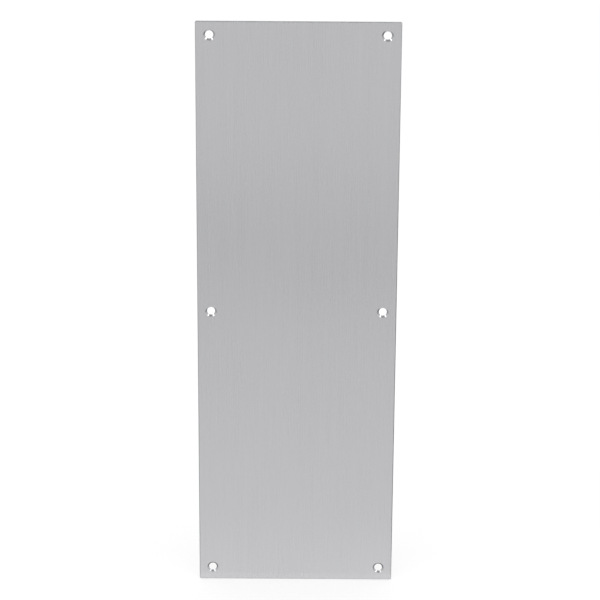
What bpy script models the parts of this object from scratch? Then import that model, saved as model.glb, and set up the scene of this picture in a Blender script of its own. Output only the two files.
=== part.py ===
"""Kick plate: a flat sheet of satin stainless steel that is screwed to the face of a door.

The plate stands upright, with its front towards -Y. Its back lies on the door, in the plane y = 0, and
the centre of the back is the origin. All sizes are in metres.
"""

import math

import bmesh
import bpy
from mathutils import Matrix

# Sheet
PLATE_WIDTH = 0.150
PLATE_HEIGHT = 0.450
PLATE_THICKNESS = 0.0015
FRONT_BEVEL = 0.0006
FACE_CORNER_RADIUS = 0.0004
BACK_EDGE_BREAK = 0.0002

# Screw holes, in two columns and HOLE_ROWS rows
HOLE_ROWS = 3
HOLE_EDGE_DISTANCE = 0.0103
HOLE_DIAMETER = 0.0060
COUNTERSINK_MOUTH = 0.0086
COUNTERSINK_ANGLE = math.radians(90)

# How far a cutter stands out past each face of the sheet
CUTTER_OVERRUN = 0.0010

# Facets
CORNER_SEGMENTS = 4
BEVEL_SEGMENTS = 1
HOLE_FACETS = 64
ROUND_PROFILE = 0.5
SMOOTH_ANGLE = math.radians(30)
MERGE_DISTANCE = 1e-6

# Satin stainless steel, linear colour
STEEL_COLOUR = (0.52, 0.53, 0.54, 1.0)
STEEL_ROUGHNESS = 0.34


def clear_scene():
    for old_object in list(bpy.data.objects):
        bpy.data.objects.remove(old_object, do_unlink=True)


def new_collection(name):
    collection = bpy.data.collections.new(name)
    bpy.context.scene.collection.children.link(collection)
    return collection


def satin_steel():
    material = bpy.data.materials.new("satin_stainless_steel")
    material.use_nodes = True
    shader = material.node_tree.nodes["Principled BSDF"]
    shader.inputs["Base Color"].default_value = STEEL_COLOUR
    shader.inputs["Metallic"].default_value = 1.0
    shader.inputs["Roughness"].default_value = STEEL_ROUGHNESS
    material.diffuse_color = STEEL_COLOUR
    return material


def bevel_edges(sheet, edges, width, segments):
    bmesh.ops.bevel(
        sheet,
        geom=edges,
        offset=width,
        offset_type="OFFSET",
        segments=segments,
        profile=ROUND_PROFILE,
        affect="EDGES",
    )


def sheet_mesh():
    """The blank before drilling: rounded corners, bevelled front edges and a broken back edge."""
    corner_radius = FACE_CORNER_RADIUS + max(FRONT_BEVEL, BACK_EDGE_BREAK)
    sheet = bmesh.new()
    bmesh.ops.create_cube(sheet, size=1.0)
    bmesh.ops.scale(sheet, vec=(PLATE_WIDTH, PLATE_THICKNESS, PLATE_HEIGHT), verts=sheet.verts)
    bmesh.ops.translate(sheet, vec=(0, -PLATE_THICKNESS / 2, 0), verts=sheet.verts)

    def edges_across(first_y, second_y):
        """The edges with one end in the plane y = first_y and the other in y = second_y."""
        return [
            edge
            for edge in sheet.edges
            if any(
                abs(a.co.y - first_y) < MERGE_DISTANCE and abs(b.co.y - second_y) < MERGE_DISTANCE
                for a, b in (edge.verts, reversed(edge.verts))
            )
        ]

    bevel_edges(sheet, edges_across(-PLATE_THICKNESS, 0), corner_radius, CORNER_SEGMENTS)
    bevel_edges(sheet, edges_across(-PLATE_THICKNESS, -PLATE_THICKNESS), FRONT_BEVEL, BEVEL_SEGMENTS)
    bevel_edges(sheet, edges_across(0, 0), BACK_EDGE_BREAK, BEVEL_SEGMENTS)
    mesh = bpy.data.meshes.new("plate")
    sheet.to_mesh(mesh)
    sheet.free()
    mesh.shade_smooth()
    mesh.set_sharp_from_angle(angle=SMOOTH_ANGLE)
    return mesh


def hole_profile():
    """Half of a hole's section as (radius, height over the back), from its mouth down to the back."""
    slope = math.tan(COUNTERSINK_ANGLE / 2)
    hole_radius = HOLE_DIAMETER / 2
    mouth_radius = COUNTERSINK_MOUTH / 2
    cone_foot = PLATE_THICKNESS - (mouth_radius - hole_radius) / slope
    top = PLATE_THICKNESS + CUTTER_OVERRUN
    bottom = min(0, cone_foot) - CUTTER_OVERRUN
    return [
        (0, top),
        (mouth_radius + CUTTER_OVERRUN * slope, top),
        (hole_radius, cone_foot),
        (hole_radius, bottom),
        (0, bottom),
    ]


def hole_cutter_mesh():
    mesh = bpy.data.meshes.new("hole_cutter")
    points = [(radius, 0, height) for radius, height in hole_profile()]
    edges = [(index, index + 1) for index in range(len(points) - 1)]
    mesh.from_pydata(points, edges, [])
    return mesh


def hole_places():
    """The holes' centres as (name, x, z), row by row from the top."""
    side = PLATE_WIDTH / 2 - HOLE_EDGE_DISTANCE
    top = PLATE_HEIGHT / 2 - HOLE_EDGE_DISTANCE
    pitch = 2 * top / (HOLE_ROWS - 1)
    for row in range(HOLE_ROWS):
        for column, x in (("left", -side), ("right", side)):
            yield f"hole_{column}_{row + 1}", x, top - row * pitch


def add_hole_cutters(collection, parent):
    """One turned cutter for each hole, with its own axis along the sheet's normal, towards the front."""
    mesh = hole_cutter_mesh()
    for name, x, z in hole_places():
        cutter = bpy.data.objects.new(name, mesh)
        cutter.matrix_world = Matrix.Translation((x, 0, z)) @ Matrix.Rotation(math.pi / 2, 4, "X")
        turning = cutter.modifiers.new("turning", "SCREW")
        turning.axis = "Z"
        turning.angle = 2 * math.pi
        turning.steps = HOLE_FACETS
        turning.render_steps = HOLE_FACETS
        turning.use_merge_vertices = True
        turning.merge_threshold = MERGE_DISTANCE
        turning.use_smooth_shade = True
        cutter.hide_render = True
        cutter.display_type = "WIRE"
        cutter.parent = parent
        collection.objects.link(cutter)


def add_plate(collection, cutters, parent):
    plate = bpy.data.objects.new("plate", sheet_mesh())
    plate.data.materials.append(satin_steel())
    plate.parent = parent
    collection.objects.link(plate)
    drilling = plate.modifiers.new("screw_holes", "BOOLEAN")
    drilling.operation = "DIFFERENCE"
    drilling.solver = "EXACT"
    drilling.operand_type = "COLLECTION"
    drilling.collection = cutters


clear_scene()
parts = new_collection("kick_plate")
cutters = new_collection("kick_plate_cutters")
door_face = bpy.data.objects.new("door_face", None)
parts.objects.link(door_face)
add_hole_cutters(cutters, door_face)
add_plate(parts, cutters, door_face)
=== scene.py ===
import math

import bmesh
import bpy
from mathutils import Matrix, Vector


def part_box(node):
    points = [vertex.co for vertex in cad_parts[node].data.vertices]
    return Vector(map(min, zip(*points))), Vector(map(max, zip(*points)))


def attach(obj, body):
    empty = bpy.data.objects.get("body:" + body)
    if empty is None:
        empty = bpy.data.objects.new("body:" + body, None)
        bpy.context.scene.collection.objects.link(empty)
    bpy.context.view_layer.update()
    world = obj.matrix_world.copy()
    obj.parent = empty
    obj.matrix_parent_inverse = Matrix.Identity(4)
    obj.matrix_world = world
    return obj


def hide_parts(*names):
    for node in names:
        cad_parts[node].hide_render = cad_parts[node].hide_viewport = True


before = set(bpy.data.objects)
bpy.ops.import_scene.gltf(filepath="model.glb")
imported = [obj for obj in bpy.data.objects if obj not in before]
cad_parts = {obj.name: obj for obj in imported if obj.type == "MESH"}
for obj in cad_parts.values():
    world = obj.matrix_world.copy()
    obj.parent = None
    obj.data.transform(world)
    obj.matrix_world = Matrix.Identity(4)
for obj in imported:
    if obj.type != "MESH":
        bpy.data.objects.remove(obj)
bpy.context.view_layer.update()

# The satin sheet. The plate is one blank of 1.5 mm stainless steel, sheared to size. Its face was linished
# with a fine belt along its length, so it is covered with hair-thin upright lines and shines softly.
MM = 0.001
sheet_low, sheet_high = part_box("plate")
sheet_size = sheet_high - sheet_low
front, back = sheet_low.y, sheet_high.y
FRONT_BEVEL = 0.6 * MM
FACE_CORNER_RADIUS = 0.4 * MM
BACK_EDGE_BREAK = 0.2 * MM
CORNER_SEGMENTS = 6
ROUND_PROFILE = 0.5
SAME_PLANE = 0.001 * MM

# Tool marks are layers of noise on one UV map. They swing about the noise's middle, and LAYER_SHIFT keeps one
# layer from repeating the next.
GRAIN_MAP = "grain"
NOISE_DETAIL = 2.0
NOISE_MIDDLE = 0.5
LAYER_SHIFT = 7.3
MIDDLE_TONE = 0.5


def linear(hex_colour):
    """An sRGB hex colour as linear RGBA."""
    shares = [int(hex_colour[start:start + 2], 16) / 255 for start in (1, 3, 5)]
    return [s / 12.92 if s <= 0.04045 else ((s + 0.055) / 1.055) ** 2.4 for s in shares] + [1.0]


def add_node(tree, kind, inputs=None, **settings):
    """A new node with its settings. An input is a socket to link from or a value to set."""
    node = tree.nodes.new(kind)
    for name, value in settings.items():
        setattr(node, name, value)
    for name, value in (inputs or {}).items():
        if isinstance(value, bpy.types.NodeSocket):
            tree.links.new(value, node.inputs[name])
        else:
            node.inputs[name].default_value = value
    return node


def worked_steel(name, dark, light, roughness, anisotropy, relief, marks):
    """Stainless steel with the marks of one tool. U of the grain map runs across the marks and V along them.

    Each mark is (width, length, share in tone, share in roughness, share in relief), in metres.
    """
    material = bpy.data.materials.new(name)
    material.use_nodes = True
    tree = material.node_tree
    tree.nodes.clear()
    grain = add_node(tree, "ShaderNodeUVMap", uv_map=GRAIN_MAP)
    sums = [MIDDLE_TONE, roughness, 0.0]
    for layer, (width, length, *shares) in enumerate(marks):
        stretch = add_node(
            tree,
            "ShaderNodeMapping",
            {
                "Vector": grain.outputs["UV"],
                "Location": (0, 0, layer * LAYER_SHIFT),
                "Scale": (1 / width, 1 / length, 1),
            },
        )
        noise = add_node(
            tree,
            "ShaderNodeTexNoise",
            {"Vector": stretch.outputs[0], "Scale": 1.0, "Detail": NOISE_DETAIL},
        )
        from_middle = {0: noise.outputs[0], 1: NOISE_MIDDLE}
        swing = add_node(tree, "ShaderNodeMath", from_middle, operation="SUBTRACT")
        for index, share in enumerate(shares):
            if share:
                inputs = {0: swing.outputs[0], 1: share, 2: sums[index]}
                total = add_node(tree, "ShaderNodeMath", inputs, operation="MULTIPLY_ADD")
                sums[index] = total.outputs[0]
    # A Mix node's two colours are its inputs 6 and 7, and the mixed colour is its output 2.
    tone = add_node(
        tree, "ShaderNodeMix", {0: sums[0], 6: linear(dark), 7: linear(light)}, data_type="RGBA"
    )
    bump = add_node(
        tree, "ShaderNodeBump", {"Strength": 1.0, "Distance": relief, "Height": sums[2]}
    )
    across = add_node(tree, "ShaderNodeTangent", direction_type="UV_MAP", uv_map=GRAIN_MAP)
    shader = add_node(
        tree,
        "ShaderNodeBsdfPrincipled",
        {
            "Base Color": tone.outputs[2],
            "Metallic": 1.0,
            "Roughness": sums[1],
            "Anisotropic": anisotropy,
            "Normal": bump.outputs[0],
            "Tangent": across.outputs[0],
        },
    )
    add_node(tree, "ShaderNodeOutputMaterial", {"Surface": shader.outputs[0]})
    return material


# Satin belt finish: the lines are under 0.1 mm wide and are drawn at 0.15 and 0.5 mm so that they show. They
# stretch every highlight sideways, and longer streaks and soft clouds come from the belt's pressure.
satin_stainless = worked_steel(
    "satin_stainless_steel",
    dark="#C3C3C6",
    light="#D8D8DA",
    roughness=0.28,
    anisotropy=0.8,
    relief=0.006 * MM,
    marks=[
        (0.15 * MM, 30 * MM, 0.45, 0.06, 0.5),
        (0.5 * MM, 60 * MM, 0.4, 0.06, 1.0),
        (4 * MM, 300 * MM, 0.15, 0.03, 0.0),
        (70 * MM, 90 * MM, 0.2, 0.04, 0.0),
    ],
)


def edges_between(blank, first_y, second_y):
    """The edges with one end in the plane y = first_y and the other in y = second_y."""
    return [
        edge
        for edge in blank.edges
        if any(
            abs(a.co.y - first_y) < SAME_PLANE and abs(b.co.y - second_y) < SAME_PLANE
            for a, b in (edge.verts, reversed(edge.verts))
        )
    ]


blank = bmesh.new()
bmesh.ops.create_cube(blank, size=1.0)
bmesh.ops.scale(blank, vec=sheet_size, verts=blank.verts)
bmesh.ops.translate(blank, vec=(sheet_low + sheet_high) / 2, verts=blank.verts)
for ends, size, segments in (
    ((front, back), FACE_CORNER_RADIUS + FRONT_BEVEL, CORNER_SEGMENTS),
    ((front, front), FRONT_BEVEL, 1),
    ((back, back), BACK_EDGE_BREAK, 1),
):
    bmesh.ops.bevel(
        blank,
        geom=edges_between(blank, *ends),
        offset=size,
        offset_type="OFFSET",
        segments=segments,
        profile=ROUND_PROFILE,
        affect="EDGES",
    )
blank_mesh = bpy.data.meshes.new("blank")
blank.to_mesh(blank_mesh)
blank.free()
blank_object = bpy.data.objects.new("blank", blank_mesh)
bpy.context.scene.collection.objects.link(blank_object)

# The edges. The front edges are bevelled on a belt that runs along them, and the same belt cleans the sheared
# sides, so the marks follow each edge and the metal is a little rougher than the face. It is also darker:
# partly the ground finish and partly painted shade along the edges, which keeps their highlights low.
# Belt-ground steel: a dull grey with scratches of about 0.05 mm, drawn at 0.12 mm so that they show.
belt_ground_edge = worked_steel(
    "belt_ground_edge",
    dark="#ABACAE",
    light="#C6C7C9",
    roughness=0.45,
    anisotropy=0.5,
    relief=0.004 * MM,
    marks=[(0.12 * MM, 9 * MM, 0.8, 0.15, 1.0), (1 * MM, 25 * MM, 0.4, 0.10, 0.0)],
)
blank_mesh.materials.append(belt_ground_edge)

# The back. It lies on the door and keeps the finish of the mill, where the sheet was cold rolled and pickled.
# Cold-rolled steel: a dull, even grey with a fine mottle, which is drawn at 0.6 mm so that it shows, and with
# faint lines along the rolling direction.
mill_finish_back = worked_steel(
    "mill_finish_back",
    dark="#A9AAAC",
    light="#C3C4C6",
    roughness=0.40,
    anisotropy=0.25,
    relief=0.008 * MM,
    marks=[
        (0.6 * MM, 1.0 * MM, 0.9, 0.15, 1.0),
        (1.5 * MM, 220 * MM, 0.3, 0.05, 0.0),
        (45 * MM, 80 * MM, 0.6, 0.12, 0.0),
    ],
)

# The screw holes. Six holes in two columns of three take No. 8 wood screws. Each is drilled through and then
# countersunk at 90 degrees from the front, which leaves a bright cone with the cutter's fine rings.
HOLE_COLUMNS = 2
HOLE_ROWS = 3
HOLE_EDGE_DISTANCE = 10.3 * MM
HOLE_DIAMETER = 6.0 * MM
COUNTERSINK_MOUTH = 8.6 * MM
COUNTERSINK_ANGLE = math.radians(90)
CUTTER_OVERRUN = 1.0 * MM
HOLE_FACETS = 96

# A face belongs to the front or the back when its normal lies along Y by this share. Each edge that is still
# sharp after drilling gets a small round, which catches the light.
FLAT_FACE = 0.95
EDGE_ROUND = 0.06 * MM
EDGE_ROUND_SEGMENTS = 2
SHARP_ANGLE = math.radians(25)

# Turned steel: bright rings of about 0.1 mm around the hole, drawn at 0.2 mm so that they show.
turned_countersink = worked_steel(
    "turned_countersink",
    dark="#AAABAD",
    light="#CACBCD",
    roughness=0.24,
    anisotropy=0.5,
    relief=0.004 * MM,
    marks=[(0.2 * MM, 20 * MM, 0.7, 0.10, 1.0), (2 * MM, 3 * MM, 0.4, 0.10, 0.0)],
)

slope = math.tan(COUNTERSINK_ANGLE / 2)
cone_foot = front + (COUNTERSINK_MOUTH - HOLE_DIAMETER) / 2 / slope
cone_height = cone_foot - front + CUTTER_OVERRUN
drilling_sizes = {
    "Column spacing": sheet_size.x - 2 * HOLE_EDGE_DISTANCE,
    "Row range": sheet_size.z - 2 * HOLE_EDGE_DISTANCE,
    "Hole radius": HOLE_DIAMETER / 2,
    "Cone foot": cone_foot,
    "Cone height": cone_height,
    "Cone growth": cone_height * slope,
    "Shank length": back - cone_foot + CUTTER_OVERRUN,
}
drilling_counts = {"Columns": HOLE_COLUMNS, "Rows": HOLE_ROWS, "Facets": HOLE_FACETS}
drilling = bpy.data.node_groups.new("screw_holes", "GeometryNodeTree")
drilling.interface.new_socket("Geometry", in_out="INPUT", socket_type="NodeSocketGeometry")
drilling.interface.new_socket("Geometry", in_out="OUTPUT", socket_type="NodeSocketGeometry")
drilling_inputs = {}
for name in (*drilling_sizes, *drilling_counts):
    kind = "NodeSocketInt" if name in drilling_counts else "NodeSocketFloat"
    drilling_inputs[name] = drilling.interface.new_socket(name, in_out="INPUT", socket_type=kind)
given = add_node(drilling, "NodeGroupInput").outputs

# The cutter is a cylinder of two steps. Its middle ring sits at the foot of the cone, its top ring stands out
# in front of the sheet, and its bottom ring stands out behind it.
rod = add_node(
    drilling,
    "GeometryNodeMeshCylinder",
    {"Vertices": given["Facets"], "Side Segments": 2, "Radius": 1.0, "Depth": 2.0},
    fill_type="NGON",
)
rod_point = add_node(drilling, "GeometryNodeInputPosition")
rod_axes = add_node(drilling, "ShaderNodeSeparateXYZ", {0: rod_point.outputs[0]})
terms = {socket.name: socket for socket in (*given, *rod_axes.outputs)}
for name, operation, *factors in (
    ("up", "MAXIMUM", "Z", 0.0),
    ("down", "MINIMUM", "Z", 0.0),
    ("radius", "MULTIPLY_ADD", "up", "Cone growth", "Hole radius"),
    ("height", "MULTIPLY", "up", "Cone height"),
    ("along", "MULTIPLY_ADD", "down", "Shank length", "height"),
    ("cutter x", "MULTIPLY", "X", "radius"),
    ("cutter y", "SUBTRACT", "Cone foot", "along"),
    ("cutter z", "MULTIPLY", "Y", "radius"),
):
    inputs = {index: terms.get(factor, factor) for index, factor in enumerate(factors)}
    terms[name] = add_node(drilling, "ShaderNodeMath", inputs, operation=operation).outputs[0]
cutter_point = add_node(
    drilling,
    "ShaderNodeCombineXYZ",
    {"X": terms["cutter x"], "Y": terms["cutter y"], "Z": terms["cutter z"]},
)
cutter = add_node(
    drilling,
    "GeometryNodeSetPosition",
    {"Geometry": rod.outputs["Mesh"], "Position": cutter_point.outputs[0]},
)
turned_cutter = add_node(
    drilling,
    "GeometryNodeSetMaterial",
    {"Geometry": cutter.outputs[0], "Material": turned_countersink},
)
rows = add_node(
    drilling,
    "GeometryNodeMeshGrid",
    {
        "Size X": given["Column spacing"],
        "Size Y": given["Row range"],
        "Vertices X": given["Columns"],
        "Vertices Y": given["Rows"],
    },
)
centres = add_node(
    drilling,
    "GeometryNodeTransform",
    {"Geometry": rows.outputs["Mesh"], "Rotation": (math.pi / 2, 0, 0)},
)
cutters = add_node(
    drilling,
    "GeometryNodeInstanceOnPoints",
    {"Points": centres.outputs[0], "Instance": turned_cutter.outputs[0]},
)
real_cutters = add_node(drilling, "GeometryNodeRealizeInstances", {0: cutters.outputs[0]})
cut = add_node(
    drilling,
    "GeometryNodeMeshBoolean",
    {"Mesh 1": given["Geometry"], "Mesh 2": real_cutters.outputs[0]},
    operation="DIFFERENCE",
    solver="EXACT",
)
smooth = add_node(drilling, "GeometryNodeSetShadeSmooth", {"Geometry": cut.outputs[0]})
worked = add_node(drilling, "GeometryNodeRealizeInstances", {0: smooth.outputs[0]})
normal = add_node(drilling, "GeometryNodeInputNormal")
facing = add_node(drilling, "ShaderNodeSeparateXYZ", {0: normal.outputs[0]}).outputs["Y"]
for operation, limit, finish in (
    ("LESS_THAN", -FLAT_FACE, satin_stainless),
    ("GREATER_THAN", FLAT_FACE, mill_finish_back),
):
    chosen = add_node(drilling, "ShaderNodeMath", {0: facing, 1: limit}, operation=operation)
    worked = add_node(
        drilling,
        "GeometryNodeSetMaterial",
        {"Geometry": worked.outputs[0], "Selection": chosen.outputs[0], "Material": finish},
    )
add_node(drilling, "NodeGroupOutput", {0: worked.outputs[0]})

drill = blank_object.modifiers.new("screw_holes", "NODES")
drill.node_group = drilling
for name, value in {**drilling_sizes, **drilling_counts}.items():
    drill[drilling_inputs[name].identifier] = value
rounding = blank_object.modifiers.new("edge_round", "BEVEL")
rounding.width = EDGE_ROUND
rounding.segments = EDGE_ROUND_SEGMENTS
rounding.limit_method = "ANGLE"
rounding.angle_limit = SHARP_ANGLE
rounding.harden_normals = True
bpy.context.view_layer.update()
drilled_blank = blank_object.evaluated_get(bpy.context.evaluated_depsgraph_get())
plate = bpy.data.objects.new("satin_plate", bpy.data.meshes.new_from_object(drilled_blank))
bpy.context.scene.collection.objects.link(plate)
bpy.data.objects.remove(blank_object)

# The grain map. U runs across the tool marks and V along them, in metres: upright on both faces, along the
# edges on the sides, and round the axis in the holes.
half_columns = sheet_size.x / 2 - HOLE_EDGE_DISTANCE
half_rows = sheet_size.z / 2 - HOLE_EDGE_DISTANCE
row_pitch = 2 * half_rows / (HOLE_ROWS - 1)
hole_axes = [
    Vector((x, 0, row * row_pitch - half_rows))
    for x in (-half_columns, half_columns)
    for row in range(HOLE_ROWS)
]
cone_across = Vector((math.sin(COUNTERSINK_ANGLE / 2), -math.cos(COUNTERSINK_ANGLE / 2)))
grain_map = plate.data.uv_layers.new(name=GRAIN_MAP)
finish_names = [material.name for material in plate.data.materials]
for face in plate.data.polygons:
    finish = finish_names[face.material_index]
    axis = min(hole_axes, key=lambda at: (face.center - at).length)
    middle = math.atan2(face.center.z - axis.z, face.center.x - axis.x)
    for loop in face.loop_indices:
        point = plate.data.vertices[plate.data.loops[loop].vertex_index].co
        if finish == turned_countersink.name:
            reach = math.hypot(point.x - axis.x, point.z - axis.z)
            turn = math.atan2(point.z - axis.z, point.x - axis.x) - middle
            turn = middle + math.remainder(turn, 2 * math.pi)
            grain_map.data[loop].uv = (cone_across.dot((reach, point.y)), turn * HOLE_DIAMETER / 2)
        elif finish == belt_ground_edge.name:
            upright = abs(face.normal.x) > abs(face.normal.z)
            reach = abs(point.x) if upright else abs(point.z)
            grain_map.data[loop].uv = (point.y - reach, point.z if upright else point.x)
        else:
            grain_map.data[loop].uv = (point.x, point.z)
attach(plate, "root")
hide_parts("plate")

# The floor. A wide sheet of white paper that the plate stands on. Most of it glows for the camera and in the
# metal, and the rest is plain paper, so that the plate's soft shadow stays.
FLOOR_REACH = 6.0
FLOOR_GAP = 0.05 * MM
PAPER_GLOW = 0.6
floor_mesh = bpy.data.meshes.new("floor")
floor_mesh.from_pydata(
    [
        (x * FLOOR_REACH, y * FLOOR_REACH, sheet_low.z - FLOOR_GAP)
        for x, y in ((-1, -1), (1, -1), (1, 1), (-1, 1))
    ],
    [],
    [(0, 1, 2, 3)],
)
floor = bpy.data.objects.new("floor", floor_mesh)
bpy.context.scene.collection.objects.link(floor)
white_paper = bpy.data.materials.new("white_paper")
white_paper.use_nodes = True
paper = white_paper.node_tree
paper.nodes.clear()
path = add_node(paper, "ShaderNodeLightPath").outputs
seen = path["Is Camera Ray"]
for ray in ("Is Glossy Ray", "Is Transmission Ray"):
    seen = add_node(paper, "ShaderNodeMath", {0: seen, 1: path[ray]}, operation="MAXIMUM").outputs[0]
glow_share = add_node(paper, "ShaderNodeMath", {0: seen, 1: PAPER_GLOW}, operation="MULTIPLY")
matte = add_node(paper, "ShaderNodeBsdfDiffuse", {"Color": linear("#FFFFFF")})
glow = add_node(paper, "ShaderNodeEmission", {"Color": linear("#FFFFFF"), "Strength": 1.0})
paper_mix = add_node(
    paper,
    "ShaderNodeMixShader",
    {0: glow_share.outputs[0], 1: matte.outputs[0], 2: glow.outputs[0]},
)
add_node(paper, "ShaderNodeOutputMaterial", {"Surface": paper_mix.outputs[0]})
floor_mesh.materials.append(white_paper)

# The light. A white room and two softboxes, high on the left and on the right, which also show as two bright
# patches low in every countersink.
SOFTBOX_POWER = 5.0
SOFTBOX_SIZE = 0.65
SOFTBOX_PLACES = {"left_softbox": (-1.64, -0.77, 1.72), "right_softbox": (1.64, -0.77, 1.72)}
room = bpy.data.worlds.new("white_room")
bpy.context.scene.world = room
room.use_nodes = True
room.node_tree.nodes.clear()
walls = add_node(room.node_tree, "ShaderNodeBackground", {"Color": linear("#FFFFFF"), "Strength": 1.0})
add_node(room.node_tree, "ShaderNodeOutputWorld", {"Surface": walls.outputs[0]})
for name, place in SOFTBOX_PLACES.items():
    lamp = bpy.data.lights.new(name, "AREA")
    lamp.energy = SOFTBOX_POWER
    lamp.size = SOFTBOX_SIZE
    softbox = bpy.data.objects.new(name, lamp)
    softbox.location = place
    softbox.rotation_euler = (-Vector(place)).to_track_quat("-Z", "Y").to_euler()
    bpy.context.scene.collection.objects.link(softbox)

# The flags. Sheets that only the metal mirrors, and which paint its reflections: a grey cloth overhead, a wedge
# on the floor at each side, paler on the left, a glowing sweep on the floor in front whose graded tones are
# painted reflections, and a narrow glowing dark strip close behind the plate's foot, which is a painted shadow
# seen in the metal. They draw the edges, the countersinks and the soft bands of the face. Corners are (x, y),
# tones (distance, colour).
TOP_TONE = "#BABABA"
LEFT_WING_TONE = "#B8B8B8"
RIGHT_WING_TONE = "#484848"
# Painted reflections: the sweep glows with these graded tones, which paint the soft bands of the face.
SWEEP_TONES = [
    (0.0, "#F7F7F7"),
    (0.12, "#ECECEC"),
    (0.45, "#E6E6E6"),
    (0.62, "#E2E2E2"),
    (0.80, "#CDCDCD"),
    (1.05, "#F0F0F0"),
    (1.8, "#DDDDDD"),
]
# A painted shadow: the dark tones of the rear strip, which the metal mirrors just behind the plate's foot.
STRIP_TONES = [(0.0, "#606060"), (0.008, "#8A8A8A"), (0.02, "#F0F0F0")]
TOP_HEIGHT = 0.90
WING_HEIGHT = sheet_low.z + 1.0 * MM
SWEEP_HEIGHT = sheet_low.z + 0.5 * MM
TOP = ((-0.40, -0.85), (0.40, -0.85), (0.40, -0.08), (-0.40, -0.08))
WING = ((0.10, 0.0), (1.4, -0.35), (1.4, 0.75), (0.10, 0.02))
SWEEP = ((-2.5, -2.6), (2.5, -2.6), (2.5, -0.01), (-2.5, -0.01))
STRIP = ((-0.12, 0.0005), (0.12, 0.0005), (0.12, 0.02), (-0.12, 0.02))


def plain_cloth(name, tone):
    cloth = bpy.data.materials.new(name)
    cloth.use_nodes = True
    tree = cloth.node_tree
    tree.nodes.clear()
    weave = add_node(tree, "ShaderNodeBsdfDiffuse", {"Color": linear(tone)})
    add_node(tree, "ShaderNodeOutputMaterial", {"Surface": weave.outputs[0]})
    return cloth


def shaded_cloth(name, side, tones):
    """A glowing sheet, seen only in the metal, whose tone changes with the distance in front of the plate (side
    -1) or behind it (side 1). Its glow paints reflections of light and shade.
    """
    cloth = bpy.data.materials.new(name)
    cloth.use_nodes = True
    tree = cloth.node_tree
    tree.nodes.clear()
    reach = tones[-1][0]
    point = add_node(tree, "ShaderNodeTexCoord").outputs["Object"]
    axes = add_node(tree, "ShaderNodeSeparateXYZ", {0: point}).outputs
    away = add_node(tree, "ShaderNodeMath", {0: axes["Y"], 1: side * reach}, operation="DIVIDE")
    shades = add_node(tree, "ShaderNodeValToRGB", {0: away.outputs[0]})
    shades.color_ramp.interpolation = "B_SPLINE"
    while len(shades.color_ramp.elements) < len(tones):
        shades.color_ramp.elements.new(1.0)
    for stop, (distance, tone) in zip(shades.color_ramp.elements, tones):
        stop.position = distance / reach
        stop.color = linear(tone)
    sheen = add_node(tree, "ShaderNodeEmission", {"Color": shades.outputs[0], "Strength": 1.0})
    add_node(tree, "ShaderNodeOutputMaterial", {"Surface": sheen.outputs[0]})
    return cloth


left_wing_cloth = plain_cloth("left_wing_cloth", LEFT_WING_TONE)
right_wing_cloth = plain_cloth("right_wing_cloth", RIGHT_WING_TONE)
top_cloth = plain_cloth("top_cloth", TOP_TONE)
sweep_cloth = shaded_cloth("sweep_cloth", -1, SWEEP_TONES)
strip_cloth = shaded_cloth("strip_cloth", 1, STRIP_TONES)
FLAGS = {
    "left_wing": ([(-x, y, WING_HEIGHT) for x, y in WING], left_wing_cloth),
    "right_wing": ([(x, y, WING_HEIGHT) for x, y in WING], right_wing_cloth),
    "front_sweep": ([(x, y, SWEEP_HEIGHT) for x, y in SWEEP], sweep_cloth),
    # The rear strip is a painted shadow that only the metal mirrors.
    "rear_painted_shadow": ([(x, y, SWEEP_HEIGHT) for x, y in STRIP], strip_cloth),
    "top_flag": ([(x, y, TOP_HEIGHT) for x, y in TOP], top_cloth),
}
for name, (corners, cloth) in FLAGS.items():
    flag_mesh = bpy.data.meshes.new(name)
    flag_mesh.from_pydata(corners, [], [(0, 1, 2, 3)])
    flag_mesh.materials.append(cloth)
    flag = bpy.data.objects.new(name, flag_mesh)
    bpy.context.scene.collection.objects.link(flag)
    for ray in ("visible_camera", "visible_diffuse", "visible_shadow", "visible_transmission"):
        setattr(flag, ray, False)

# The camera. It looks down on the plate at about 21 degrees from 1.9 m, through a long lens, as in the
# photograph, and it leans by a third of a degree.
IMAGE_SIDE = 600
FOCAL_PIXELS = 2582.6
SENSOR_WIDTH = 36.0
CAMERA_PLACE = Vector((0.00371, -1.81373, 0.7077))
CAMERA_AIM = Vector((0.00225, -0.0015, 0.00965))
CAMERA_ROLL = math.radians(0.346)
camera = bpy.data.objects.new("camera", bpy.data.cameras.new("camera"))
camera.data.sensor_width = SENSOR_WIDTH
camera.data.lens = FOCAL_PIXELS / IMAGE_SIDE * SENSOR_WIDTH
level = (CAMERA_AIM - CAMERA_PLACE).to_track_quat("-Z", "Y").to_matrix().to_4x4()
camera.matrix_world = Matrix.Translation(CAMERA_PLACE) @ level @ Matrix.Rotation(CAMERA_ROLL, 4, "Z")
bpy.context.scene.collection.objects.link(camera)
bpy.context.scene.camera = camera
bpy.context.scene.view_settings.view_transform = "Standard"
